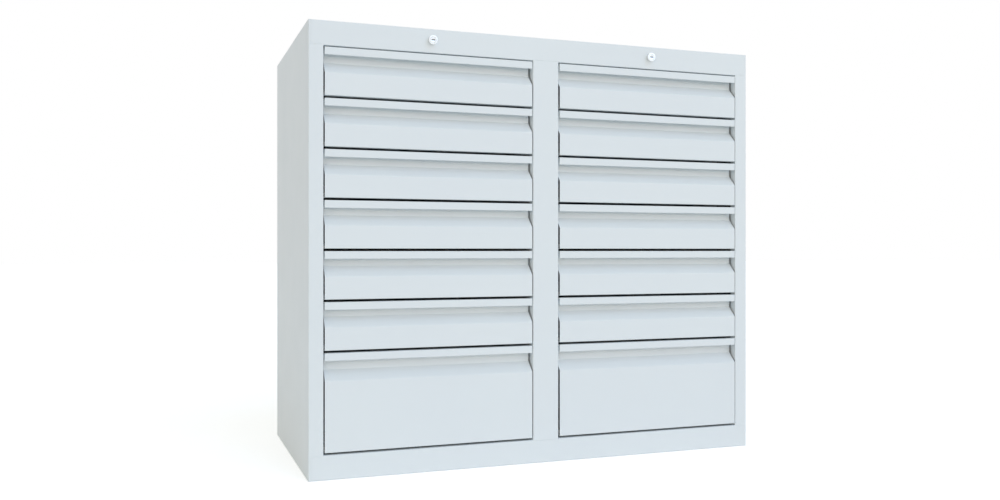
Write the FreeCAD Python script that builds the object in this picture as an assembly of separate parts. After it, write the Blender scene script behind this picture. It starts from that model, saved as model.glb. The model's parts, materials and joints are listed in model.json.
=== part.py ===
"""Steel drawer cabinet: two columns of seven drawers, each column with its own central lock.

Millimetres. X runs to the right, Y to the back, Z up. The origin is the centre of the underside.
"""
import FreeCAD, Part
import math
import os

Vector = FreeCAD.Vector

# Overall size
cabinet_width = 1000.0
cabinet_depth = 500.0
cabinet_height = 900.0

# Cabinet sheet metal
sheet = 1.0
bend = 1.0
fit = 0.3
stile_width = 29.3
stile_return = 20.0
centre_width = 58.6
rail_height = 49.0
rail_return = 15.0
corner_bend = 1.0
corner_left_whole = 5.0
joint_line = 0.1
joint_above_edge = 1.6
rear_flange = 20.0
rear_rail_height = 30.0
side_skirt = 20.0
partition_flange = 15.0

# Uprights behind the stiles
upright_width = 40.0
upright_foot = 12.0
front_upright_gap = 4.0
rear_upright_setback = 70.0

# Drawer fronts
low_drawers = 6
front_proud = 1.7
low_front_height = 95.0
drawer_gap = 5.0
top_reveal = 2.5
bottom_reveal = 4.5
side_reveal = 2.5
lip_height = 15.3
hem_height = 7.0
hem_gap = 0.6
grip_depth = 20.0
grip_end_inset = 1.8
low_crease_drop = 29.0
high_crease_drop = 34.0
slope_height = 21.0
slope_bend = 3.0
front_return = 17.0
front_upturn = 10.0
stiffener_depth = 15.0
stiffener_inset = 3.2

# Drawer trays
tray_sheet = 0.8
tray_lift = 6.0
tray_below_front_top = 17.5
tray_depth = 449.0
tray_hem_gap = 0.4

# Slides
slide_space = 13.0
slide_sheet = 1.2
slide_length = 400.0
slide_height = 35.0
slide_depth = 9.5
slide_lip = 4.2
slide_centre = 36.0
slide_setback = 3.0
slide_stop_height = 10.0
slide_stop_thickness = 1.5
drawer_travel = 300.0

# Central locks
lock_face_radius = 9.5
lock_below_top = 23.5
lock_projection = 8.0
lock_chamfer = 1.0
barrel_radius = 8.0
barrel_length = 21.0
barrel_play = 0.2
nut_radius = 11.5
nut_thickness = 5.0
plug_radius = 6.0
plug_recess = 0.5
plug_tail = 2.0
key_slot_width = 8.0
key_slot_height = 2.0
key_slot_depth = 6.0
turning_play = 0.08
rod_radius = 4.0
bearing_sheet = 2.0
bearing_width = 24.0
bearing_drop = 10.0
bearing_foot = 16.0
bearing_before_crank = 6.0
crank_half_width = 6.0
crank_thickness = 5.0
crank_to_bar = 0.6
crank_pin_radius = 2.5
crank_pin_play = 0.25
crank_turn = math.radians(90.0)

# Lock bars and what they catch
bar_lift = 8.0
bar_width = 24.0
bar_thickness = 2.0
bar_top_margin = 8.0
hook_width = 16.0
hook_sheet = 2.0
hook_foot = 14.0
hook_lip = 12.0
hook_overlap = 3.5
hook_play = 5.0
catch_lip_to_bar = 8.0
catch_height = 44.0
guide_sheet = 1.2
guide_foot = 10.0
guide_height = 20.0
guide_above_catch = 22.0

# What follows from the sizes above
front_plane = -cabinet_depth / 2
back_plane = cabinet_depth / 2
side_plane = cabinet_width / 2
inner_side = side_plane - sheet
opening_width = (cabinet_width - 2 * stile_width - centre_width) / 2
column_offset = (centre_width + opening_width) / 2
front_width = opening_width - 2 * side_reveal
tray_width = opening_width - 2 * slide_space
opening_bottom = rail_height
opening_top = cabinet_height - rail_height
lower_joint = opening_bottom - joint_above_edge
upper_joint = opening_top + joint_above_edge
back_panel_front = back_plane - 2 * sheet
stacked_low_fronts = low_drawers * (low_front_height + drawer_gap)
high_front_height = opening_top - opening_bottom - top_reveal - bottom_reveal - stacked_low_fronts

face_plane = front_plane - front_proud
grip_back = face_plane + grip_depth + sheet
tray_back = grip_back + tray_depth
stile_back = front_plane + stile_return
slide_front = stile_back + slide_setback
slide_back = slide_front + slide_length

lock_height = cabinet_height - lock_below_top
bar_back = back_panel_front - fit
bar_front = bar_back - bar_thickness
crank_back = bar_front - crank_to_bar
crank_front = crank_back - crank_thickness
crank_arm = bar_lift / (2 * math.sin(crank_turn / 2))
crank_reach_least = crank_arm * math.cos(crank_turn / 2)
bar_offset = -(crank_arm + crank_reach_least) / 2

columns = {"left": -column_offset, "right": column_offset}
AXIS = {"x": Vector(1, 0, 0), "y": Vector(0, 1, 0), "z": Vector(0, 0, 1)}
SHARP = 0.0
PLANE_NORMAL = {"x": Vector(1, 0, 0), "y": Vector(0, -1, 0), "z": Vector(0, 0, 1)}


def on_plane(axis, pair):
    """A point of the plane across the axis; the pair is (Y, Z), (X, Z) or (X, Y)."""
    first, second = pair
    if axis == "x":
        return Vector(0, first, second)
    if axis == "y":
        return Vector(first, 0, second)
    return Vector(first, second, 0)


def direction(start, end):
    return (end - start).normalize()


def offset_right(points, normal, distance):
    """The same path moved to its right, with mitred corners."""
    rights = [direction(a, b).cross(normal) for a, b in zip(points, points[1:])]
    moved = [points[0] + rights[0] * distance]
    for point, before, after in zip(points[1:], rights, rights[1:]):
        mitre = (before + after) * (1 / (1 + before.dot(after)))
        moved.append(point + mitre * distance)
    moved.append(points[-1] + rights[-1] * distance)
    return moved


def rounded_path(points, radii):
    """Lines through the points, with an arc of the given radius at each inner point, or a sharp corner."""
    edges = []
    start = points[0]
    for before, corner, after, radius in zip(points, points[1:], points[2:], radii):
        if radius == SHARP:
            edges.append(Part.LineSegment(start, corner).toShape())
            start = corner
            continue
        back = direction(corner, before)
        ahead = direction(corner, after)
        half = back.getAngle(ahead) / 2
        reach = radius / math.tan(half)
        inward = (back + ahead).normalize()
        arc_start = corner + back * reach
        arc_end = corner + ahead * reach
        arc_middle = corner + inward * (radius / math.sin(half) - radius)
        if start.distanceToPoint(arc_start) > 1e-6:
            edges.append(Part.LineSegment(start, arc_start).toShape())
        edges.append(Part.Arc(arc_start, arc_middle, arc_end).toShape())
        start = arc_end
    edges.append(Part.LineSegment(start, points[-1]).toShape())
    return edges


def folded(axis, pairs, start, end, thickness=sheet, bends=SHARP):
    """A folded sheet along the axis: the pairs run along one face, with the metal on their right."""
    normal = PLANE_NORMAL[axis]
    near = [on_plane(axis, pair) for pair in pairs]
    far = offset_right(near, normal, thickness)
    inner_radii = bends if isinstance(bends, list) else [bends] * (len(near) - 2)
    near_radii = []
    far_radii = []
    for before, corner, after, radius in zip(near, near[1:], near[2:], inner_radii):
        turn = direction(before, corner).cross(direction(corner, after)).dot(normal)
        outer_radius = SHARP if radius == SHARP else radius + thickness
        near_radii.append(outer_radius if turn < 0 else radius)
        far_radii.append(radius if turn < 0 else outer_radius)
    edges = rounded_path(near, near_radii)
    edges.append(Part.LineSegment(near[-1], far[-1]).toShape())
    edges += rounded_path(far[::-1], far_radii[::-1])
    edges.append(Part.LineSegment(far[0], near[0]).toShape())
    section = Part.Face(Part.Wire(edges))
    section.translate(AXIS[axis] * start)
    return section.extrude(AXIS[axis] * (end - start))


def block(x_range, y_range, z_range):
    """A box between two corners; each range may be given in either order."""
    low = Vector(min(x_range), min(y_range), min(z_range))
    high = Vector(max(x_range), max(y_range), max(z_range))
    size = high - low
    return Part.makeBox(size.x, size.y, size.z, low)


def round_bar(radius, x, z, y_start, y_end):
    return Part.makeCylinder(radius, y_end - y_start, Vector(x, y_start, z), AXIS["y"])


def joined(pieces):
    return pieces[0].fuse(pieces[1:]).removeSplitter()


def mirrored(shape, axis, height=0.0):
    return shape.mirror(AXIS["z"] * height, AXIS[axis])


def save(name, solids):
    shape = solids[0] if len(solids) == 1 else Part.makeCompound(solids)
    shape.exportStep(os.path.join("parts", name + ".step"))


# Cabinet

def left_side_panel():
    """Side skin with the stile, its return and the rear flange folded on."""
    stile_inner = -side_plane + stile_width
    outline = [
        (stile_inner, stile_back),
        (stile_inner, front_plane),
        (-side_plane, front_plane),
        (-side_plane, back_plane),
        (-side_plane + rear_flange, back_plane),
    ]
    panel = folded("z", outline, 0, cabinet_height, bends=[SHARP, corner_bend, SHARP])
    flange_x = (-side_plane + corner_left_whole, stile_inner + sheet)
    front_y = (front_plane - sheet, stile_back + sheet)
    rear_y = (back_plane - sheet - bend, back_plane + sheet)
    above = cabinet_height + sheet
    notches = [
        block(flange_x, front_y, (-sheet, lower_joint + joint_line)),
        block(flange_x, front_y, (upper_joint - joint_line, above)),
        block(flange_x, rear_y, (-sheet, rear_rail_height + joint_line)),
        block(flange_x, rear_y, (cabinet_height - rear_rail_height - joint_line, above)),
    ]
    return panel.cut(notches)


def plain_pan():
    """Top pan: front rail with its return, flat top, rear flange and a skirt along each side."""
    half = side_plane - corner_left_whole - joint_line
    outline = [
        (front_plane + rail_return, opening_top),
        (front_plane, opening_top),
        (front_plane, cabinet_height),
        (back_plane, cabinet_height),
        (back_plane, cabinet_height - rear_rail_height),
    ]
    pan = folded("x", outline, -half, half, bends=[bend, bend, SHARP]).cut(stile_notches())
    skirt_outline = [
        (-inner_side, cabinet_height - side_skirt),
        (-inner_side, cabinet_height),
        (-half + sheet, cabinet_height),
    ]
    skirt_start = front_plane + sheet + corner_bend
    skirt_end = back_plane - 2 * sheet - fit
    skirt = folded("y", skirt_outline, skirt_start, skirt_end)
    return joined([pan, skirt, mirrored(skirt, "x")])


def stile_notches():
    """Where the stiles run up in front of the rail's folded edge, beside the openings."""
    y_range = (front_plane - sheet, front_plane + rail_return + sheet)
    z_range = (opening_top - sheet, upper_joint)
    side = side_plane - stile_width
    centre = centre_width / 2
    spans = [(-side_plane, -side), (-centre, centre), (side, side_plane)]
    return [block(span, y_range, z_range) for span in spans]


def top_panel():
    pan = plain_pan()
    for x in columns.values():
        hole_radius = barrel_radius + barrel_play
        pan = pan.cut(round_bar(hole_radius, x, lock_height, front_plane - sheet, front_plane + 2 * sheet))
    return pan


def base_panel():
    return mirrored(plain_pan(), "z", cabinet_height / 2)


def back_panel():
    margin = sheet + bend + fit
    half = side_plane - margin
    z_range = (margin, cabinet_height - margin)
    return block((-half, half), (back_panel_front, back_panel_front + sheet), z_range)


def center_partition():
    """Hat section: wide centre stile in front, two walls and flanges on the back panel."""
    half = centre_width / 2
    flange_y = back_panel_front - sheet
    outline = [
        (half + partition_flange, flange_y),
        (half, flange_y),
        (half, front_plane),
        (-half, front_plane),
        (-half, flange_y),
        (-half - partition_flange, flange_y),
    ]
    hat = folded("z", outline, sheet, cabinet_height - sheet, bends=[SHARP, bend, bend, SHARP])
    across = (-half - sheet, half + sheet)
    rail_zone = (front_plane - sheet, front_plane + rail_return + fit)
    foot = block(across, rail_zone, (0, lower_joint + joint_line))
    head = block(across, rail_zone, (upper_joint - joint_line, cabinet_height))
    return hat.cut([foot, head])


def upright(front):
    """Hat-section post on the left side skin; its face is level with the stile's edge."""
    skin = -inner_side
    face = -side_plane + stile_width
    outline = [
        (skin + sheet, front + upright_width + upright_foot),
        (skin + sheet, front + upright_width),
        (face, front + upright_width),
        (face, front),
        (skin + sheet, front),
        (skin + sheet, front - upright_foot),
    ]
    end = side_skirt + fit
    return folded("z", outline, end, cabinet_height - end)


def side_uprights():
    front_one = upright(stile_back + front_upright_gap + upright_foot)
    rear_one = upright(back_plane - rear_upright_setback - upright_width)
    left_pair = [front_one, rear_one]
    return left_pair + [mirrored(post, "x") for post in left_pair]


# Drawers

def drawer_places():
    """Height of the front's lower edge and its height, for each drawer from the top down."""
    places = []
    top = opening_top - top_reveal
    for number in range(low_drawers):
        places.append((top - low_front_height, low_front_height))
        top -= low_front_height + drawer_gap
    places.append((top - high_front_height, high_front_height))
    return places


def drawer_front(x, bottom, height):
    """Bent sheet with hemmed lip, grip recess, slope, face and bottom return, and a stiffener at each end."""
    hem = 2 * sheet + hem_gap
    inner_face = face_plane + sheet
    top = bottom + height
    crease_drop = low_crease_drop if height == low_front_height else high_crease_drop
    crease_shift = sheet * math.tan(math.atan2(grip_depth, slope_height) / 2)
    crease = top - crease_drop - crease_shift
    slope_foot = crease - slope_height
    outline = [
        (face_plane + hem, top - lip_height + hem_height),
        (face_plane + hem, top - lip_height),
        (face_plane, top - lip_height),
        (face_plane, top),
        (grip_back, top),
        (grip_back, crease),
        (inner_face, slope_foot),
        (inner_face, bottom + sheet),
        (face_plane + front_return, bottom + sheet),
        (face_plane + front_return, bottom + front_upturn),
    ]
    half = front_width / 2
    bends = [SHARP, SHARP, SHARP, SHARP, SHARP, slope_bend, SHARP, SHARP]
    body = folded("x", outline, x - half, x + half, bends=bends)
    pieces = [body.cut(grip_end_notches(x, slope_foot, top))]
    stiffener_y = (inner_face - sheet / 2, face_plane + stiffener_depth)
    stiffener_z = (bottom + sheet / 2, slope_foot - stiffener_inset)
    outer = half - stiffener_inset
    for side in (-1, 1):
        stiffener_x = (x + side * outer, x + side * (outer - sheet))
        pieces.append(block(stiffener_x, stiffener_y, stiffener_z))
    return joined(pieces)


def grip_end_notches(x, slope_foot, top):
    """What is cut off both ends of the recess, so that only the lip and the face run to the full width."""
    half = front_width / 2
    y_range = (face_plane + sheet, grip_back + sheet)
    z_range = (slope_foot, top + sheet)
    notches = []
    for side in (-1, 1):
        x_range = (x + side * (half - grip_end_inset), x + side * (half + sheet))
        notches.append(block(x_range, y_range, z_range))
    return notches


def drawer_tray(x, bottom, height):
    """Open box with hemmed walls, welded to the back of the front's grip recess."""
    hem = 2 * tray_sheet + tray_hem_gap
    floor = bottom + tray_lift
    top = bottom + height - tray_below_front_top
    half = tray_width / 2
    inner_half = half - tray_sheet
    across = [
        (x + half - hem, top - hem_height),
        (x + half - hem, top),
        (x + half, top),
        (x + half, floor),
        (x - half, floor),
        (x - half, top),
        (x - half + hem, top),
        (x - half + hem, top - hem_height),
    ]
    wall_foot = floor + tray_sheet / 2
    front_wall = [
        (grip_back, wall_foot),
        (grip_back, top),
        (grip_back + hem, top),
        (grip_back + hem, top - hem_height),
    ]
    back_wall = [
        (tray_back - hem, top - hem_height),
        (tray_back - hem, top),
        (tray_back, top),
        (tray_back, wall_foot),
    ]
    pieces = [folded("y", across, grip_back, tray_back, tray_sheet)]
    for wall in (front_wall, back_wall):
        pieces.append(folded("x", wall, x - inner_half, x + inner_half, tray_sheet))
    return joined(pieces)


# Slides

def slide_stop(x_mount, inward, reach, y_front, z):
    """Tab bent out of a slide member; reach is its two distances from the mounting plane."""
    half = slide_stop_height / 2
    x_range = (x_mount + inward * reach[0], x_mount + inward * reach[1])
    return block(x_range, (y_front, y_front + slide_stop_thickness), (z - half, z + half))


def section_from(x_mount, inward, z, pairs):
    """Places a slide section, given as distance from the mounting plane and height."""
    placed = [(x_mount + inward * distance, z + height) for distance, height in pairs]
    return placed if inward > 0 else placed[::-1]


def cabinet_slide(x_mount, inward, z):
    """Lipped channel on the cabinet, with a travel stop and a closing stop."""
    half = slide_height / 2
    mouth = half - slide_lip
    channel = [
        (slide_depth, -mouth),
        (slide_depth, -half),
        (0, -half),
        (0, half),
        (slide_depth, half),
        (slide_depth, mouth),
    ]
    outline = section_from(x_mount, inward, z, channel)
    closing_stop = slide_back + fit
    end = closing_stop + slide_stop_thickness
    travel_stop = slide_back - 2 * slide_stop_thickness - drawer_travel - fit
    reach = (slide_sheet / 2, slide_depth - slide_sheet - slide_sheet - 2 * fit)
    member = folded("y", outline, slide_front, end, slide_sheet)
    stops = [slide_stop(x_mount, inward, reach, y, z) for y in (travel_stop, closing_stop)]
    return joined([member] + stops)


def drawer_slide(x_mount, inward, z):
    """Hat section on the tray that runs behind the channel's lips."""
    brim_half = slide_height / 2 - slide_sheet - fit
    neck_half = slide_height / 2 - slide_lip - fit
    brim = slide_depth - slide_sheet - fit
    hat = [
        (brim, brim_half),
        (brim, neck_half),
        (slide_space, neck_half),
        (slide_space, -neck_half),
        (brim, -neck_half),
        (brim, -brim_half),
    ]
    outline = section_from(x_mount, inward, z, hat)
    member = folded("y", outline, slide_front, slide_back, slide_sheet)
    reach = (slide_sheet + fit, slide_space - slide_sheet / 2)
    stop = slide_stop(x_mount, inward, reach, slide_back - slide_stop_thickness, z)
    return joined([member, stop])


def mounting_planes(x):
    """Both mounting planes of a column, with the direction from each towards the tray."""
    return [(x - opening_width / 2, 1), (x + opening_width / 2, -1)]


def column_slides(x):
    slides = []
    for bottom, height in drawer_places():
        for x_mount, inward in mounting_planes(x):
            slides.append(cabinet_slide(x_mount, inward, bottom + tray_lift + slide_centre))
    return slides


def lock_catch(x, bottom):
    """Bent plate on the tray's back, with a lip that hangs behind the lock bar's hook."""
    tab = bottom + catch_height
    outline = [
        (tray_back, tab + hook_foot),
        (tray_back, tab - hook_sheet),
        (bar_front - catch_lip_to_bar - hook_sheet, tab - hook_sheet),
        (bar_front - catch_lip_to_bar - hook_sheet, tab - hook_sheet - hook_lip),
    ]
    half = hook_width / 2
    return folded("x", outline[::-1], x - half, x + half, hook_sheet)


def drawer_slides(x, bottom):
    z = bottom + tray_lift + slide_centre
    pair = [drawer_slide(x_mount, inward, z) for x_mount, inward in mounting_planes(x)]
    return pair + [lock_catch(x + bar_offset, bottom)]


# Locks

def lock_housing(x):
    """Threaded barrel through the rail, with the round collar that stands in front of it."""
    front = front_plane - lock_projection
    collar = round_bar(lock_face_radius, x, lock_height, front, front_plane)
    rim = [edge for edge in collar.Edges if abs(edge.CenterOfMass.y - front) < 1e-6]
    collar = collar.makeChamfer(lock_chamfer, rim)
    barrel = round_bar(barrel_radius, x, lock_height, front_plane, front_plane + barrel_length)
    bore = round_bar(plug_radius + turning_play, x, lock_height, front - 1, front_plane + barrel_length + 1)
    return joined([collar, barrel]).cut(bore)


def lock_nut(x):
    """Hexagon nut behind the rail."""
    behind = front_plane + sheet
    corners = []
    for side in range(7):
        angle = math.radians(60 * side)
        across = nut_radius * math.cos(angle)
        up = nut_radius * math.sin(angle)
        corners.append(Vector(x + across, behind, lock_height + up))
    hexagon = Part.Face(Part.makePolygon(corners)).extrude(AXIS["y"] * nut_thickness)
    return hexagon.cut(round_bar(barrel_radius, x, lock_height, behind - 1, behind + nut_thickness + 1))


def plug_rear():
    return front_plane + barrel_length + plug_tail


def lock_plug(x):
    """Turning cylinder with the key slot; the slot lies level while the drawers are free."""
    front = front_plane - lock_projection + plug_recess
    plug = round_bar(plug_radius, x, lock_height, front, plug_rear())
    half_width = key_slot_width / 2
    half_height = key_slot_height / 2
    slot = block(
        (x - half_width, x + half_width),
        (front - 1, front + key_slot_depth),
        (lock_height - half_height, lock_height + half_height),
    )
    return plug.cut(slot)


def lock_rod(x):
    """Rod from the plug to the back, with a flat crank and its pin at the rear end."""
    rod = round_bar(rod_radius, x, lock_height, plug_rear(), crank_back)
    pin = round_bar(crank_pin_radius, x - crank_arm, lock_height, crank_front, bar_back)
    lever = block(
        (x - crank_arm - crank_half_width, x + crank_half_width),
        (crank_front, crank_back),
        (lock_height - crank_half_width, lock_height + crank_half_width),
    )
    for piece in (pin, lever):
        piece.rotate(Vector(x, 0, lock_height), AXIS["y"], -math.degrees(crank_turn / 2))
    return joined([rod, lever, pin])


def rod_bearing(x):
    """Angle bracket under the top panel, just in front of the crank."""
    rear = crank_front - bearing_before_crank
    under_top = cabinet_height - sheet
    lower_edge = lock_height - bearing_drop
    outline = [
        (rear, lower_edge),
        (rear, under_top),
        (rear - bearing_foot, under_top),
    ]
    half = bearing_width / 2
    bracket = folded("x", outline[::-1], x - half, x + half, bearing_sheet)
    bore = round_bar(rod_radius + turning_play, x, lock_height, rear - 2 * bearing_sheet, rear + 1)
    return bracket.cut(bore)


def bar_guide(x, z):
    """Bridge on the back panel that holds the lock bar and lets it slide up and down."""
    half = bar_width / 2 + fit + guide_sheet
    foot_face = back_panel_front - guide_sheet
    bridge_face = bar_front - fit - guide_sheet
    outline = [
        (x - half - guide_foot, foot_face),
        (x - half, foot_face),
        (x - half, bridge_face),
        (x + half, bridge_face),
        (x + half, foot_face),
        (x + half + guide_foot, foot_face),
    ]
    half_height = guide_height / 2
    return folded("z", outline[::-1], z - half_height, z + half_height, guide_sheet)


def bar_hook(x, bottom):
    """Hook on the lock bar: foot, arm under the drawer's catch, and a lip that points up."""
    catch_lip_bottom = bottom + catch_height - hook_sheet - hook_lip
    lip_top = catch_lip_bottom + hook_overlap - bar_lift
    arm_top = lip_top - hook_lip
    lip_rear = bar_front - catch_lip_to_bar - hook_sheet - hook_play
    outline = [
        (lip_rear, lip_top),
        (lip_rear, arm_top),
        (bar_front, arm_top),
        (bar_front, arm_top - hook_foot),
    ]
    half = hook_width / 2
    return folded("x", outline, x - half, x + half, hook_sheet)


def lock_bar(x):
    """Flat bar with a slot for the crank pin, and one hook for each drawer."""
    centre = x + bar_offset
    places = drawer_places()
    hooks = [bar_hook(centre, bottom) for bottom, height in places]
    lowest = min(hook.BoundBox.ZMin for hook in hooks)
    top = lock_height + bar_top_margin
    half = bar_width / 2
    bar = block((centre - half, centre + half), (bar_front, bar_back), (lowest, top))
    pin_room = crank_pin_radius + crank_pin_play
    slot_half = (crank_arm - crank_reach_least) / 2 + pin_room
    pin_z = lock_height - bar_lift / 2
    slot = block(
        (centre - slot_half, centre + slot_half),
        (bar_front - 1, bar_back + 1),
        (pin_z - pin_room, pin_z + pin_room),
    )
    return [bar.cut(slot)] + hooks


def lock_guides():
    guides = []
    bottoms = [bottom for bottom, height in drawer_places()]
    for x in columns.values():
        guides.append(rod_bearing(x))
        for bottom in (bottoms[0], bottoms[-1]):
            guides.append(bar_guide(x + bar_offset, bottom + catch_height + guide_above_catch))
    return guides


def build():
    os.makedirs("parts", exist_ok=True)
    left = left_side_panel()
    save("left_side_panel", [left])
    save("right_side_panel", [mirrored(left, "x")])
    save("top_panel", [top_panel()])
    save("base_panel", [base_panel()])
    save("back_panel", [back_panel()])
    save("center_partition", [center_partition()])
    save("side_uprights", side_uprights())
    save("lock_housings", [lock_housing(x) for x in columns.values()])
    save("lock_nuts", [lock_nut(x) for x in columns.values()])
    save("lock_guides", lock_guides())
    for side, x in columns.items():
        save(side + "_column_slides", column_slides(x))
        save(side + "_lock_plug", [lock_plug(x)])
        save(side + "_lock_rod", [lock_rod(x)])
        save(side + "_lock_bar", lock_bar(x))
        for number, (bottom, height) in enumerate(drawer_places(), start=1):
            name = side + "_drawer_" + str(number)
            save(name + "_front", [drawer_front(x, bottom, height)])
            save(name + "_tray", [drawer_tray(x, bottom, height)])
            save(name + "_slides", drawer_slides(x, bottom))


build()
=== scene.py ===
"""Looks of the steel drawer cabinet. Metres, Z up, the front looks along -Y."""
import json
import math

import bpy
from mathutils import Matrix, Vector

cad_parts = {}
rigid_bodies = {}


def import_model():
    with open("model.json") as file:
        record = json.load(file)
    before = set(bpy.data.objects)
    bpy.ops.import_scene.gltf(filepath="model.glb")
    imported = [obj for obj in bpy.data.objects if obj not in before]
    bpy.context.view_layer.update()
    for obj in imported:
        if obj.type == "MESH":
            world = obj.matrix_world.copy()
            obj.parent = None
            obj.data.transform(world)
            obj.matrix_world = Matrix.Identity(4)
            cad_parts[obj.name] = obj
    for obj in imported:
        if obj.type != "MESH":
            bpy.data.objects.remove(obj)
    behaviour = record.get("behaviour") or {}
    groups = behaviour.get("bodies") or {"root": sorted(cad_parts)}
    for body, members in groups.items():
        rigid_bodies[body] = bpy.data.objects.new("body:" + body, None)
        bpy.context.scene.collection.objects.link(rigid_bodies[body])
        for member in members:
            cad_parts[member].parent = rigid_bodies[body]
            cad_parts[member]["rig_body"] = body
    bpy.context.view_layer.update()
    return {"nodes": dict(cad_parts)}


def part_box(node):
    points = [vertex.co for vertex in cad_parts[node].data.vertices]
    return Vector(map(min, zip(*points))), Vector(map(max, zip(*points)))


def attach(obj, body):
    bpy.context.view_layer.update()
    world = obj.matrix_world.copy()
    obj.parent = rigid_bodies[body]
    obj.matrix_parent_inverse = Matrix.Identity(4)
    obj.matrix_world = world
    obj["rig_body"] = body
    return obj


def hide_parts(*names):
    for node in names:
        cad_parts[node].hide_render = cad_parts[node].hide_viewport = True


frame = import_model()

MM = 0.001
TINY = 0.001 * MM
QUARTER = math.radians(90)

# Photograph's point of view
CAMERA_PLACE = (-0.7771, -2.0975, 0.4507)
CAMERA_TURN = math.radians(-20.027)
CAMERA_LENS = 33.937
CAMERA_SENSOR = 36.0

# Studio
FLOOR_SIZE = 60.0
FLOOR_DROP = 0.2 * MM
FLOOR_TONE = 0.98
FLOOR_ROUGHNESS = 0.9
FLOOR_GLOW = 0.40
FRONT_WALL = (1.985, 1.735, 1.525, 1)
SIDE_WALL = (0.065, 0.07, 0.07, 1)
BACK_WALL = (0.80, 0.80, 0.80, 1)
CEILING_LIGHT = (0.565, 0.580, 0.555, 1)
CEILING_FROM = 0.75
WHITE = (1, 1, 1, 1)
WINDOW_LIGHT = (0.286, 0.514, 0.825)
WINDOW_SOFTNESS = math.radians(60)
WINDOW_HEIGHT = math.radians(40)
WINDOW_SIDE = math.radians(35)

# Noise: the band that most of its values fall in, and its detail in each use
NOISE_LOW = 0.3
NOISE_HIGH = 0.7
CLOUD_DETAIL = 3.0
GLOSS_DETAIL = 4.0
RELIEF_DETAIL = 3.0

# Powder coat: scales are noise cells per metre
CLOUD_SCALE = 3.0
GLOSS_SCALE = 14.0
GLOSSIEST = 0.40
DULLEST = 0.50
PEEL_SCALE = 420.0
PEEL_STRENGTH = 0.25
PEEL_DEPTH = 0.06 * MM
COAT_SHINE = 0.3

# Bare and plated metal; the first two are factors on the scale of its cloudiness
GLOSS_FINER = 4
RELIEF_FINER = 12
GLOSS_BELOW = 0.06
GLOSS_ABOVE = 0.08
RELIEF_STRENGTH = 0.15
RELIEF_DEPTH = 0.05 * MM
ROLLED_ALONG_Y = (1, 0.05, 1)

# Drawer fronts: sizes as in the solids, apart from the folds, the stiffeners and the grip's end inset
SHEET = 1.0 * MM
HEM = 2.6 * MM
HEM_HEIGHT = 7.0 * MM
HEM_SEGMENTS = 6
LIP_HEIGHT = 15.3 * MM
GRIP_BACK = 21.0 * MM
LOW_CREASE_DROP = 29.0 * MM
HIGH_CREASE_DROP = 34.0 * MM
SLOPE_HEIGHT = 21.0 * MM
FRONT_RETURN = 17.0 * MM
FRONT_UPTURN = 10.0 * MM
LIP_FOLD = 1.4 * MM
GRIP_TOP_FOLD = 1.5 * MM
CREASE_FOLD = 2.0 * MM
SLOPE_FOOT_FOLD = 3.0 * MM
RETURN_FOLD = 0.6 * MM
GRIP_END_INSET = 0.9 * MM
NOTCH_START = 2.2 * MM
NOTCH_STEP = 0.05 * MM
STIFFENER_DEPTH = 15.0 * MM
STIFFENER_INSET = 9.5 * MM
STIFFENER_FOOT = 9.0 * MM
STIFFENER_FROM = 1.5 * MM
STIFFENER_BELOW_SLOPE = 2.0 * MM
HIGH_FRONT_FROM = 150 * MM

# Drawer trays: sheet and hem as in the solids
TRAY_SHEET = 0.8 * MM
TRAY_HEM = 2.0 * MM

# A hem's folds leave a sliver of flat between them
HEM_SLIVER = 0.01 * MM
HEM_FOLD = HEM / 2 - HEM_SLIVER
TRAY_HEM_FOLD = TRAY_HEM / 2 - HEM_SLIVER

# Folds, edges and turned parts
TURNING_STEPS = 48
FOLD_STEP = math.radians(15)
SHARP_TURN = math.radians(35)
FLAT_TURN = math.radians(1)
CUT_EDGE = 0.15 * MM
SKIN_EDGE = 0.3 * MM
FITTING_EDGE = 0.15 * MM

# Locks: radii, collar and keyway as in the solids
LOCK_RADIUS = 9.5 * MM
LOCK_COLLAR = 8.0 * MM
LOCK_RIM = 1.0 * MM
LOCK_BORE = 6.08 * MM
LOCK_LEAD_IN = 0.25 * MM
RIM_STEPS = 4
BARREL_RADIUS = 8.0 * MM
THREAD_PITCH = 1.0 * MM
THREAD_DEPTH = 0.5 * MM
PLUG_RIM = 0.35 * MM
PLUG_CONE_RADIUS = 4.6 * MM
PLUG_CONE_DEPTH = 0.35 * MM
KEYWAY_WIDTH = 8.0 * MM
KEYWAY_HEIGHT = 2.0 * MM
KEYWAY_DEPTH = 6.0 * MM
KEYWAY_ROUNDING = 0.48 * KEYWAY_HEIGHT
KEYWAY_SEGMENTS = 5
CUTTER_LEAD = 1.0 * MM

# Rivets that hold the back panel on the partition's flanges
RIVET_RADIUS = 4.5 * MM
RIVET_HEIGHT = 0.8 * MM
RIVET_SINK = 0.3 * MM
RIVET_STEPS = 5
RIVET_SIDE = 38.0 * MM
RIVET_START = 50.0 * MM
RIVET_PITCH = 100.0 * MM
RIVET_ROWS = 9

SIDES = ("left", "right")
DRAWERS = range(1, 8)


# Finishes

def colour(red, green, blue):
    """Linear colour from the 0-255 values that a screen shows."""
    def linear(value):
        share = value / 255
        return share / 12.92 if share <= 0.04045 else ((share + 0.055) / 1.055) ** 2.4
    return (linear(red), linear(green), linear(blue), 1.0)


def new_material(name):
    """A node material with its shader, ready for more nodes."""
    material = bpy.data.materials.new(name)
    material.use_nodes = True
    tree = material.node_tree
    return material, tree, tree.nodes["Principled BSDF"]


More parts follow.
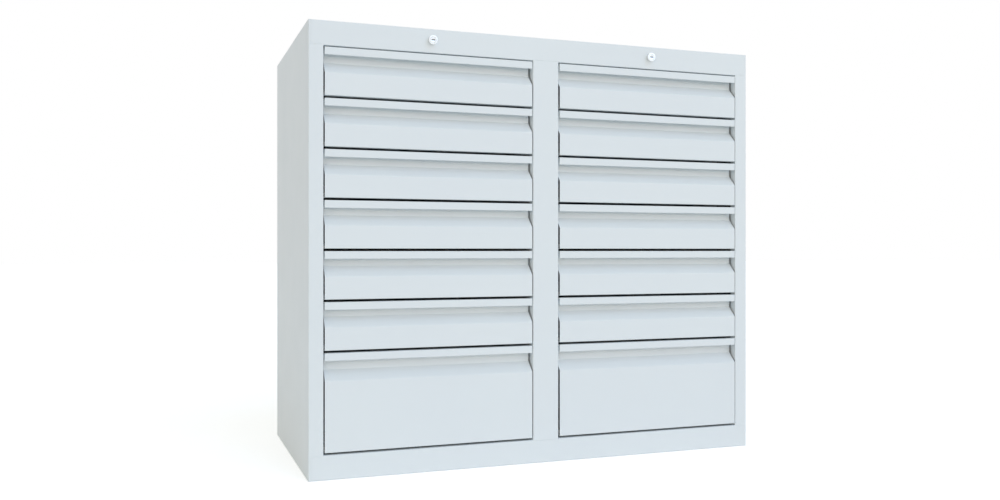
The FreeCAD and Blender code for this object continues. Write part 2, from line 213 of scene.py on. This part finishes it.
def noise(tree, scale, detail, stretch=None):
    """Noise on object coordinates, optionally stretched along an axis; gives its value socket."""
    places = tree.nodes.new("ShaderNodeTexCoord")
    grain = tree.nodes.new("ShaderNodeTexNoise")
    grain.inputs["Scale"].default_value = scale
    grain.inputs["Detail"].default_value = detail
    source = places.outputs["Object"]
    if stretch:
        mapping = tree.nodes.new("ShaderNodeMapping")
        mapping.inputs["Scale"].default_value = stretch
        tree.links.new(source, mapping.inputs["Vector"])
        source = mapping.outputs["Vector"]
    tree.links.new(source, grain.inputs["Vector"])
    return grain.outputs["Fac"]


def ranged(tree, value, low, high, from_low=NOISE_LOW, from_high=NOISE_HIGH):
    """The value stretched from its own band, a noise's unless given, onto the band from low to high."""
    band = tree.nodes.new("ShaderNodeMapRange")
    band.inputs["From Min"].default_value = from_low
    band.inputs["From Max"].default_value = from_high
    band.inputs["To Min"].default_value = low
    band.inputs["To Max"].default_value = high
    tree.links.new(value, band.inputs["Value"])
    return band.outputs["Result"]


def bumped(tree, shader, height, strength, distance):
    """Relief from the height, at most the distance deep."""
    bump = tree.nodes.new("ShaderNodeBump")
    bump.inputs["Strength"].default_value = strength
    bump.inputs["Distance"].default_value = distance
    tree.links.new(height, bump.inputs["Height"])
    tree.links.new(bump.outputs["Normal"], shader.inputs["Normal"])


def blended(tree, share, first, second):
    """Mix of two colours, each a plain value or another node's socket."""
    mix = tree.nodes.new("ShaderNodeMix")
    mix.data_type = "RGBA"
    for name, tone in (("A", first), ("B", second)):
        if isinstance(tone, tuple):
            mix.inputs[name].default_value = tone
        else:
            tree.links.new(tone, mix.inputs[name])
    tree.links.new(share, mix.inputs["Factor"])
    return mix.outputs["Result"]


def tinted(tree, shader, value, first, second):
    """Base colour that wanders between two close tones."""
    tree.links.new(blended(tree, ranged(tree, value, 0, 1), first, second), shader.inputs["Base Color"])


def powder_coat(name, paint, deeper):
    """Satin powder coat: faint cloudiness, varying gloss and the orange peel of cured powder."""
    material, tree, shader = new_material(name)
    tinted(tree, shader, noise(tree, CLOUD_SCALE, CLOUD_DETAIL), paint, deeper)
    gloss = ranged(tree, noise(tree, GLOSS_SCALE, GLOSS_DETAIL), GLOSSIEST, DULLEST)
    tree.links.new(gloss, shader.inputs["Roughness"])
    bumped(tree, shader, noise(tree, PEEL_SCALE, RELIEF_DETAIL), PEEL_STRENGTH, PEEL_DEPTH)
    shader.inputs["Specular IOR Level"].default_value = COAT_SHINE
    return material


def bare_metal(name, tone, deeper, roughness, grain, stretch=None):
    """Bare or plated metal: cloudy tones, and fine marks that a stretch draws out along its rolling."""
    material, tree, shader = new_material(name)
    tinted(tree, shader, noise(tree, grain, CLOUD_DETAIL), tone, deeper)
    marks = noise(tree, grain * GLOSS_FINER, GLOSS_DETAIL, stretch)
    gloss = ranged(tree, marks, roughness - GLOSS_BELOW, roughness + GLOSS_ABOVE)
    tree.links.new(gloss, shader.inputs["Roughness"])
    relief = noise(tree, grain * RELIEF_FINER, RELIEF_DETAIL, stretch)
    bumped(tree, shader, relief, RELIEF_STRENGTH, RELIEF_DEPTH)
    shader.inputs["Metallic"].default_value = 1.0
    return material


def make_finishes():
    """Every finish by its slot in the record; the keyway's darker brass, partly the plug's own metal and
    partly painted shade, is no slot of its own.
    """
    paint = colour(228, 234, 235)
    deeper_paint = colour(226, 232, 234)
    zinc = colour(196, 199, 202)
    deeper_zinc = colour(178, 182, 187)
    nickel = colour(240, 240, 238)
    deeper_nickel = colour(230, 231, 230)
    # Brass darker than the plating: partly the plug's own metal, partly painted shade inside the keyway
    brass_and_shade = colour(164, 158, 147)
    deeper_brass_and_shade = colour(148, 142, 131)
    return {
        "cabinet_coat": powder_coat("cabinet_powder_coat", paint, deeper_paint),
        "drawer_coat": powder_coat("drawer_powder_coat", paint, deeper_paint),
        "zinc_steel": bare_metal(
            "zinc_plate", zinc, deeper_zinc, roughness=0.38, grain=60, stretch=ROLLED_ALONG_Y
        ),
        "lock_nickel": bare_metal("nickel_plate", nickel, deeper_nickel, roughness=0.22, grain=90),
        # Darker finish inside the keyway, partly painted shade
        "keyway": bare_metal("keyway_brass_and_painted_shade", brass_and_shade, deeper_brass_and_shade, roughness=0.45, grain=300),
    }


FINISHES = make_finishes()


def dress_nodes():
    """Gives every solid the finish of its slot."""
    for node in frame["nodes"].values():
        slot = node.data.materials[0].name
        node.material_slots[0].material = FINISHES[slot]


# Studio

def seen_rays(tree):
    """1 for rays from the camera, a mirror or a glass, and 0 for those that carry light."""
    path = tree.nodes.new("ShaderNodeLightPath")
    total = path.outputs["Is Camera Ray"]
    for kind in ("Is Glossy Ray", "Is Transmission Ray"):
        both = tree.nodes.new("ShaderNodeMath")
        both.operation = "MAXIMUM"
        tree.links.new(total, both.inputs[0])
        tree.links.new(path.outputs[kind], both.inputs[1])
        total = both.outputs["Value"]
    return total


def add_floor():
    """Pale paper floor; its extra glow is only seen, and lights nothing."""
    bpy.ops.mesh.primitive_plane_add(size=FLOOR_SIZE, location=(0, 0, -FLOOR_DROP))
    floor = bpy.context.object
    floor.name = "floor"
    material, tree, shader = new_material("floor_paper")
    shader.inputs["Base Color"].default_value = (FLOOR_TONE, FLOOR_TONE, FLOOR_TONE, 1)
    shader.inputs["Roughness"].default_value = FLOOR_ROUGHNESS
    shader.inputs["Specular IOR Level"].default_value = 0.0
    shader.inputs["Emission Color"].default_value = WHITE
    strength = tree.nodes.new("ShaderNodeMath")
    strength.operation = "MULTIPLY"
    strength.inputs[1].default_value = FLOOR_GLOW
    tree.links.new(seen_rays(tree), strength.inputs[0])
    tree.links.new(strength.outputs["Value"], shader.inputs["Emission Strength"])
    floor.data.materials.append(material)


def add_sky():
    """A room with a bright front wall, dark sides, and a pale back wall and ceiling.

    Where it is seen instead of giving light, it is plain white.
    """
    world = bpy.data.worlds.new("studio")
    bpy.context.scene.world = world
    world.use_nodes = True
    tree = world.node_tree
    places = tree.nodes.new("ShaderNodeTexCoord")
    parts = tree.nodes.new("ShaderNodeSeparateXYZ")
    tree.links.new(places.outputs["Generated"], parts.inputs["Vector"])
    forwards = ranged(tree, parts.outputs["Y"], 1, 0, -1, 0)
    backwards = ranged(tree, parts.outputs["Y"], 0, 1, 0, 1)
    upwards = ranged(tree, parts.outputs["Z"], 0, 1, 0, CEILING_FROM)
    walls = blended(tree, forwards, SIDE_WALL, FRONT_WALL)
    walls = blended(tree, backwards, walls, BACK_WALL)
    room = blended(tree, upwards, walls, CEILING_LIGHT)
    seen = blended(tree, seen_rays(tree), room, WHITE)
    tree.links.new(seen, tree.nodes["Background"].inputs["Color"])


def add_window():
    """One very soft, bluish light from the upper right in front."""
    lamp = bpy.data.lights.new("window", "SUN")
    lamp.angle = WINDOW_SOFTNESS
    strongest = max(WINDOW_LIGHT)
    lamp.energy = strongest
    lamp.color = [channel / strongest for channel in WINDOW_LIGHT]
    holder = bpy.data.objects.new("window", lamp)
    bpy.context.scene.collection.objects.link(holder)
    level = math.cos(WINDOW_HEIGHT)
    towards = Vector((
        level * math.sin(WINDOW_SIDE),
        -level * math.cos(WINDOW_SIDE),
        math.sin(WINDOW_HEIGHT),
    ))
    holder.rotation_euler = towards.to_track_quat("Z", "Y").to_euler()


def add_camera():
    """The photograph's level point of view."""
    camera = bpy.data.cameras.new("camera")
    camera.lens = CAMERA_LENS
    camera.sensor_width = CAMERA_SENSOR
    holder = bpy.data.objects.new("camera", camera)
    bpy.context.scene.collection.objects.link(holder)
    holder.location = CAMERA_PLACE
    holder.rotation_euler = (QUARTER, 0, CAMERA_TURN)
    bpy.context.scene.camera = holder


# Handling of pieces

def select_only(*pieces):
    """Selects the pieces and nothing else; the first becomes the active one."""
    bpy.ops.object.select_all(action="DESELECT")
    for piece in pieces:
        piece.select_set(True)
    bpy.context.view_layer.objects.active = pieces[0]


def apply_place():
    """Moves the selected piece's place, turn and scale into its mesh."""
    bpy.ops.object.transform_apply(location=True, rotation=True, scale=True)


def named(piece, name):
    """The piece, with the name on the object and on its mesh."""
    piece.name = name
    piece.data.name = name
    return piece


def joined(name, pieces):
    """One piece made of them all; the first one takes in the others."""
    select_only(*pieces)
    bpy.ops.object.join()
    return named(pieces[0], name)


def copy_to(piece, name, shift):
    """A copy with its own mesh, moved by the shift; it keeps the marks that the piece already carries."""
    select_only(piece)
    bpy.ops.object.duplicate()
    bpy.ops.transform.translate(value=shift)
    apply_place()
    return named(bpy.context.object, name)


def hand_over(piece, body, slot, *nodes):
    """Gives a finished piece its finish and its body, and hides the nodes that it stands for, if any."""
    piece.data.materials.clear()
    piece.data.materials.append(FINISHES[slot])
    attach(piece, body)
    if nodes:
        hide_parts(*nodes)


def pick(piece, test, kind="verts"):
    """Selects in edit mode the vertices or edges whose every corner passes the test."""
    bpy.ops.mesh.select_mode(type="VERT" if kind == "verts" else "EDGE")
    bpy.ops.mesh.select_all(action="DESELECT")
    bpy.ops.object.mode_set(mode="OBJECT")
    mesh = piece.data
    for part in getattr(mesh, "vertices" if kind == "verts" else "edges"):
        corners = [part.co] if kind == "verts" else [mesh.vertices[v].co for v in part.vertices]
        part.select = all(test(corner) for corner in corners)
    bpy.ops.object.mode_set(mode="EDIT")


def shade(piece):
    """Shades the active piece's folds and curves smooth while large faces keep their own direction."""
    bpy.ops.object.shade_smooth_by_angle(angle=SHARP_TURN)
    evened = piece.modifiers.new("evened", "WEIGHTED_NORMAL")
    evened.keep_sharp = True
    bpy.ops.object.modifier_apply(modifier=evened.name)


def soften(piece, width):
    """Breaks the active piece's sharp edges and shades its folds smooth."""
    edge = piece.modifiers.new("edge", "BEVEL")
    edge.width = width
    edge.segments = 1
    edge.limit_method = "ANGLE"
    edge.angle_limit = SHARP_TURN
    bpy.ops.object.modifier_apply(modifier=edge.name)
    shade(piece)


# Sheet metal

def in_space(axis, point):
    """A point of the plane across the axis; the pair is (Y, Z), (X, Z) or (X, Y)."""
    first, second = point
    return Vector({"x": (0, first, second), "y": (first, 0, second), "z": (first, second, 0)}[axis])


def near_line(axis, point):
    """Test for corners that lie on the line along the axis through the point."""
    target = in_space(axis, point)
    across = [i for i, name in enumerate("xyz") if name != axis]

    def test(corner):
        return all(abs(corner[i] - target[i]) < TINY for i in across)
    return test


def start_edge(name, axis, start, end, first):
    """A new object in edit mode that holds one selected edge along the axis, at the first point."""
    bpy.ops.object.select_all(action="DESELECT")
    length = end - start
    middle = (start + end) / 2
    centre = {
        "x": (middle, first[0] + length / 2, first[1]),
        "y": (first[0] + length / 2, middle, first[1]),
        "z": (first[0], first[1] + length / 2, middle),
    }[axis]
    turn = (0, QUARTER, 0) if axis == "z" else (0, 0, 0)
    # One side of a plane stays, as the edge
    bpy.ops.mesh.primitive_plane_add(size=length, location=centre, rotation=turn)
    apply_place()
    piece = bpy.context.object
    piece.name = name
    bpy.ops.object.mode_set(mode="EDIT")
    across = 0 if axis == "y" else 1
    pick(piece, lambda corner: corner[across] > centre[across])
    bpy.ops.mesh.delete(type="VERT")
    bpy.ops.mesh.select_all(action="SELECT")
    return piece


def strip_along(name, axis, start, end, points, radii):
    """A strip folded through the points, with each fold rounded to its radius; stays in edit mode."""
    piece = start_edge(name, axis, start, end, points[0])
    places = [in_space(axis, point) for point in points]
    for here, there in zip(places, places[1:]):
        bpy.ops.mesh.extrude_region_move(TRANSFORM_OT_translate={"value": there - here})
    for before, corner, after, point, radius in zip(places, places[1:], places[2:], points[1:], radii):
        turn = (corner - before).angle(after - corner)
        pick(piece, near_line(axis, point), "edges")
        segments = max(2, round(turn / FOLD_STEP))
        bpy.ops.mesh.bevel(offset=radius * math.tan(turn / 2), segments=segments, affect="EDGES")
    return piece


def finish_sheet(piece, thickness, place, sight):
    """Gives the strip its thickness behind the face at the place, which looks along sight."""
    bpy.ops.mesh.select_mode(type="VERT")
    bpy.ops.mesh.select_all(action="SELECT")
    bpy.ops.object.mode_set(mode="OBJECT")
    nearest = min(piece.data.polygons, key=lambda face: (face.center - Vector(place)).length)
    if nearest.normal.dot(Vector(sight)) < 0:
        bpy.ops.object.mode_set(mode="EDIT")
        bpy.ops.mesh.flip_normals()
        bpy.ops.object.mode_set(mode="OBJECT")
    metal = piece.modifiers.new("metal", "SOLIDIFY")
    metal.thickness = thickness
    metal.offset = -1
    metal.use_even_offset = True
    bpy.ops.object.modifier_apply(modifier=metal.name)
    soften(piece, CUT_EDGE)


def folded_sheet(name, axis, start, end, points, radii, thickness, sight):
    """A folded strip with its thickness; the face between the first two points looks along sight."""
    piece = strip_along(name, axis, start, end, points, radii)
    place = (in_space(axis, points[0]) + in_space(axis, points[1])) / 2
    place["xyz".index(axis)] = (start + end) / 2
    finish_sheet(piece, thickness, place, sight)
    return piece


# Drawer fronts

def front_outline(face, bottom, top):
    """Points along one side of the bent sheet, from the lip's lower edge to the upturn.

    This side looks forwards at the lip and backwards at the face.
    """
    crease_drop = HIGH_CREASE_DROP if top - bottom > HIGH_FRONT_FROM else LOW_CREASE_DROP
    depth = GRIP_BACK - SHEET
    shift = SHEET * math.tan(math.atan2(depth, SLOPE_HEIGHT) / 2)
    crease = top - crease_drop - shift
    return [
        (face, top - LIP_HEIGHT),
        (face, top),
        (face + GRIP_BACK, top),
        (face + GRIP_BACK, crease),
        (face + SHEET, crease - SLOPE_HEIGHT),
        (face + SHEET, bottom + SHEET),
        (face + FRONT_RETURN, bottom + SHEET),
        (face + FRONT_RETURN, bottom + FRONT_UPTURN),
    ]


def narrow_grip(piece, face, low, high, left, right):
    """Takes the recess in at both ends behind the lip and the face; two close cuts hold the step."""
    for distance in (NOTCH_START, NOTCH_START + NOTCH_STEP):
        bpy.ops.mesh.select_mode(type="VERT")
        bpy.ops.mesh.select_all(action="SELECT")
        bpy.ops.mesh.bisect(plane_co=(0, face + distance, 0), plane_no=(0, 1, 0))
    for end, inward in ((left, 1), (right, -1)):
        def in_recess(corner):
            behind = corner.y > face + NOTCH_START + NOTCH_STEP / 2
            return behind and low < corner.z < high and abs(corner.x - end) < TINY
        pick(piece, in_recess)
        bpy.ops.transform.translate(value=(inward * GRIP_END_INSET, 0, 0))


def fold_hem(piece, face, foot):
    """Folds the lip's lower edge back and up behind the lip."""
    pick(piece, near_line("x", (face, foot)), "edges")
    for step in ((0, HEM, 0), (0, 0, HEM_HEIGHT)):
        bpy.ops.mesh.extrude_region_move(TRANSFORM_OT_translate={"value": step})
    for point in ((face, foot), (face + HEM, foot)):
        pick(piece, near_line("x", point), "edges")
        bpy.ops.mesh.bevel(offset=HEM_FOLD, segments=HEM_SEGMENTS, affect="EDGES")


def end_stiffener(face, x, inward, bottom, top):
    """Angle inside the front's end: foot on the face's back and a web to the rear."""
    outline = [
        (x + inward * STIFFENER_FOOT, face + SHEET),
        (x, face + SHEET),
        (x, face + STIFFENER_DEPTH),
    ]
    return folded_sheet("stiffener", "z", bottom, top, outline, [SHEET], SHEET, (0, -1, 0))


def drawer_front(name, node):
    """One bent sheet with a hemmed lip, grip recess, slope, face and return, and its two stiffeners."""
    (left, face, bottom), (right, _, top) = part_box(node)
    outline = front_outline(face, bottom, top)
    slope_foot = outline[4][1]
    radii = [LIP_FOLD, GRIP_TOP_FOLD, CREASE_FOLD, SLOPE_FOOT_FOLD, RETURN_FOLD, RETURN_FOLD]
    sheet = strip_along(name, "x", left, right, outline, radii)
    narrow_grip(sheet, face, slope_foot, top + SHEET, left, right)
    fold_hem(sheet, face, top - LIP_HEIGHT)
    lip_middle = ((left + right) / 2, face, top - LIP_HEIGHT / 2)
    finish_sheet(sheet, SHEET, lip_middle, (0, -1, 0))
    parts = [sheet]
    for end, inward in ((left, 1), (right, -1)):
        web = end + inward * STIFFENER_INSET
        span = (bottom + STIFFENER_FROM, slope_foot - STIFFENER_BELOW_SLOPE)
        parts.append(end_stiffener(face, web, inward, *span))
    return joined(name, parts)


# Drawer trays

def tray_end(left, right, inner_face, outward, foot, top):
    """End wall with its top edge hemmed inwards; outward is -1 for the front wall and 1 for the rear."""
    outer = inner_face + outward * TRAY_HEM
    outline = [
        (inner_face, top - HEM_HEIGHT),
        (inner_face, top),
        (outer, top),
        (outer, foot),
    ]
    radii = [TRAY_HEM_FOLD, TRAY_HEM_FOLD]
    return folded_sheet("wall", "x", left, right, outline, radii, TRAY_SHEET, (0, -outward, 0))


def drawer_tray(name, node):
    """Floor folded up into two hemmed side walls, with a hemmed wall welded in at each end."""
    (left, front, floor), (right, back, top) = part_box(node)
    across = [
        (left + TRAY_HEM, top - HEM_HEIGHT),
        (left + TRAY_HEM, top),
        (left, top),
        (left, floor),
        (right, floor),
        (right, top),
        (right - TRAY_HEM, top),
        (right - TRAY_HEM, top - HEM_HEIGHT),
    ]
    floor_fold = 2 * TRAY_SHEET
    radii = [TRAY_HEM_FOLD, TRAY_HEM_FOLD, floor_fold, floor_fold, TRAY_HEM_FOLD, TRAY_HEM_FOLD]
    pan = folded_sheet("pan", "y", front, back, across, radii, TRAY_SHEET, (1, 0, 0))
    ends = [
        tray_end(left + TRAY_SHEET, right - TRAY_SHEET, inner_face, outward, floor + TRAY_SHEET, top)
        for inner_face, outward in ((front + TRAY_HEM, -1), (back - TRAY_HEM, 1))
    ]
    return joined(name, [pan] + ends)


def place_drawers():
    """Models one low and one high drawer, and copies their fronts and trays to the other places."""
    for kind, model in (("front", drawer_front), ("tray", drawer_tray)):
        patterns = {}
        for side in SIDES:
            for number in DRAWERS:
                body = f"{side}_drawer_{number}"
                node = f"{body}_{kind}"
                name = f"{side}_{kind}_{number}"
                low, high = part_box(node)
                tall = high[2] - low[2] > HIGH_FRONT_FROM
                if tall in patterns:
                    pattern, origin = patterns[tall]
                    piece = copy_to(pattern, name, Vector(low) - origin)
                else:
                    piece = model(name, node)
                    patterns[tall] = (piece, Vector(low))
                hand_over(piece, body, "drawer_coat", node)


# Turned parts

def turned(name, x, z, outline):
    """A part turned about the line along Y through (x, z); the outline runs as (radius, Y)."""
    bpy.ops.object.select_all(action="DESELECT")
    radius, y = outline[0]
    half = MM / 2
    # One corner of a small plane stays, as the outline's first point
    bpy.ops.mesh.primitive_plane_add(size=MM, location=(x + radius - half, y - half, z))
    apply_place()
    piece = bpy.context.object
    piece.name = name
    bpy.ops.object.mode_set(mode="EDIT")
    pick(piece, lambda corner: corner.x < x + radius - half or corner.y < y - half)
    bpy.ops.mesh.delete(type="VERT")
    bpy.ops.mesh.select_all(action="SELECT")
    for here, there in zip(outline, outline[1:]):
        step = (there[0] - here[0], there[1] - here[1], 0)
        bpy.ops.mesh.extrude_region_move(TRANSFORM_OT_translate={"value": step})
    bpy.ops.mesh.select_all(action="SELECT")
    bpy.ops.mesh.spin(steps=TURNING_STEPS, angle=math.tau, center=(x, 0, z), axis=(0, 1, 0))
    bpy.ops.mesh.select_all(action="SELECT")
    bpy.ops.mesh.remove_doubles(threshold=TINY)
    bpy.ops.mesh.normals_make_consistent(inside=False)
    bpy.ops.object.mode_set(mode="OBJECT")
    return piece


def quarter_round(radius, y, size):
    """Points that round the outer front edge of a turned part, from its face to its rim."""
    turns = [QUARTER * step / RIM_STEPS for step in range(RIM_STEPS + 1)]
    return [(radius - size + size * math.sin(turn), y + size - size * math.cos(turn)) for turn in turns]


# Locks

def thread_outline(radius, start, end):
    """Ridges of a fine thread, from the start to the end along Y."""
    points = []
    y = start
    while y + THREAD_PITCH < end:
        points += [(radius - THREAD_DEPTH, y), (radius, y + THREAD_PITCH / 2)]
        y += THREAD_PITCH
    return points + [(radius - THREAD_DEPTH, end)]


def lock_housing(x, z, front, rear):
    """Collar with a rounded rim and a chamfered bore, on a threaded barrel that goes through the rail."""
    collar_rear = front + LOCK_COLLAR
    outline = [(LOCK_BORE, front + LOCK_LEAD_IN), (LOCK_BORE + LOCK_LEAD_IN, front)]
    outline += quarter_round(LOCK_RADIUS, front, LOCK_RIM)
    outline += [(LOCK_RADIUS, collar_rear), (BARREL_RADIUS, collar_rear)]
    outline += thread_outline(BARREL_RADIUS, collar_rear + THREAD_PITCH, rear)
    outline += [(LOCK_BORE, rear), outline[0]]
    piece = turned("housing", x, z, outline)
    shade(piece)
    return piece


def keyway_cutter(x, z, front):
    """The keyway's shape with rounded ends, standing out of the plug's face by a lead."""
    bpy.ops.object.select_all(action="DESELECT")
    middle = front + (KEYWAY_DEPTH - CUTTER_LEAD) / 2
    bpy.ops.mesh.primitive_cube_add(size=1, location=(x, middle, z))
    cutter = bpy.context.object
    cutter.scale = (KEYWAY_WIDTH, KEYWAY_DEPTH + CUTTER_LEAD, KEYWAY_HEIGHT)
    apply_place()
    bpy.ops.object.mode_set(mode="EDIT")
    bpy.ops.mesh.select_mode(type="EDGE")
    bpy.ops.mesh.select_all(action="DESELECT")
    bpy.ops.object.mode_set(mode="OBJECT")
    mesh = cutter.data
    # Only its four edges along Y are rounded
    for edge in mesh.edges:
        first, second = (mesh.vertices[v].co for v in edge.vertices)
        edge.select = abs(first.y - second.y) > KEYWAY_DEPTH / 2
    bpy.ops.object.mode_set(mode="EDIT")
    bpy.ops.mesh.bevel(offset=KEYWAY_ROUNDING, segments=KEYWAY_SEGMENTS, affect="EDGES")
    bpy.ops.object.mode_set(mode="OBJECT")
    return cutter


def cut_away(piece, cutter):
    """Takes the cutter's shape out of the piece."""
    select_only(piece)
    cut = piece.modifiers.new("cut", "BOOLEAN")
    cut.operation = "DIFFERENCE"
    cut.solver = "EXACT"
    cut.object = cutter
    bpy.ops.object.modifier_apply(modifier=cut.name)
    bpy.data.objects.remove(cutter)


def lock_plug(name, low, high):
    """Plug that fills the box between the corners, with a shallow cone round a level keyway."""
    x, z = (low[0] + high[0]) / 2, (low[2] + high[2]) / 2
    front, rear = low[1], high[1]
    radius = (high[0] - low[0]) / 2
    outline = [(0, front + PLUG_CONE_DEPTH), (PLUG_CONE_RADIUS, front)]
    outline += quarter_round(radius, front, PLUG_RIM)
    outline += [(radius, rear), (0, rear)]
    piece = turned(name, x, z, outline)
    cut_away(piece, keyway_cutter(x, z, front))
    shade(piece)
    return piece


def keyway_bare_and_painted_shade(plug, x, z, front):
    """Darker unplated brass for the faces that lie inside the keyway: partly the plug's own metal, partly
    painted shade in the slot.
    """
    plug.data.materials.append(FINISHES["keyway"])
    start, end = front + PLUG_CONE_DEPTH, front + KEYWAY_DEPTH
    for face in plug.data.polygons:
        across, up = abs(face.center.x - x), abs(face.center.z - z)
        in_slot = across < KEYWAY_WIDTH / 2 + TINY and up < KEYWAY_HEIGHT / 2 + TINY
        if in_slot and start + TINY < face.center.y < end + TINY:
            face.material_index = 1


def place_locks():
    """Both housings as one piece, as in the solids, and a plug that turns in each."""
    low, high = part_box("lock_housings")
    height = (low[2] + high[2]) / 2
    housings = []
    for side in SIDES:
        node = side + "_lock_plug"
        plug_low, plug_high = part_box(node)
        x = (plug_low[0] + plug_high[0]) / 2
        housings.append(lock_housing(x, height, low[1], high[1]))
        plug = lock_plug(side + "_plug", plug_low, plug_high)
        hand_over(plug, side + "_lock", "lock_nickel", node)
        # Paints the keyway's inner faces darker, partly as painted shade
        keyway_bare_and_painted_shade(plug, x, height, plug_low[1])
    hand_over(joined("housings", housings), "cabinet", "lock_nickel", "lock_housings")


# Rivets

def rivet_head(x, y, z):
    """Low dome that looks backwards, with its rim sunk into the sheet."""
    turns = [QUARTER * step / RIVET_STEPS for step in range(RIVET_STEPS + 1)]
    dome = [(RIVET_RADIUS * math.sin(turn), y + RIVET_HEIGHT * math.cos(turn)) for turn in turns]
    piece = turned("rivet", x, z, dome + [(RIVET_RADIUS, y - RIVET_SINK), (0, y - RIVET_SINK)])
    shade(piece)
    return piece


def place_rivets():
    """Two columns of rivet heads on the back panel, over the partition's flanges."""
    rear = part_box("back_panel")[1][1]
    shifts = [(x, 0, row * RIVET_PITCH) for row in range(RIVET_ROWS) for x in (0, 2 * RIVET_SIDE)]
    first = rivet_head(-RIVET_SIDE, rear, RIVET_START)
    heads = [first] + [copy_to(first, "rivet_copy", shift) for shift in shifts[1:]]
    hand_over(joined("back_rivets", heads), "cabinet", "zinc_steel")


# Other solids

def softened(name, solid, width):
    """A copy of a solid's mesh with its flat faces cleaned and its sharp edges broken."""
    select_only(solid)
    bpy.ops.object.duplicate()
    piece = named(bpy.context.object, name)
    # The copy stands for the solid, so it drops the solid's own marks
    for key in list(piece.keys()):
        del piece[key]
    apply_place()
    bpy.ops.object.mode_set(mode="EDIT")
    bpy.ops.mesh.select_all(action="SELECT")
    bpy.ops.mesh.remove_doubles(threshold=TINY)
    bpy.ops.mesh.dissolve_limited(angle_limit=FLAT_TURN)
    bpy.ops.mesh.normals_make_consistent(inside=False)
    bpy.ops.object.mode_set(mode="OBJECT")
    soften(piece, width)
    return piece


def soften_others():
    """Gives every solid that has no piece of its own a copy with broken edges."""
    modelled = {"lock_housings"} | {side + "_lock_plug" for side in SIDES}
    for name, node in frame["nodes"].items():
        if name in modelled or name.endswith(("_front", "_tray")):
            continue
        finish = node.material_slots[0].material
        slot = next(key for key, material in FINISHES.items() if material == finish)
        width = SKIN_EDGE if slot == "cabinet_coat" else FITTING_EDGE
        hand_over(softened(name + "_softened", node, width), node["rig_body"], slot, name)


bpy.context.scene.view_settings.view_transform = "Standard"
add_camera()
add_floor()
add_sky()
add_window()
dress_nodes()
place_drawers()
place_locks()
place_rivets()
soften_others()
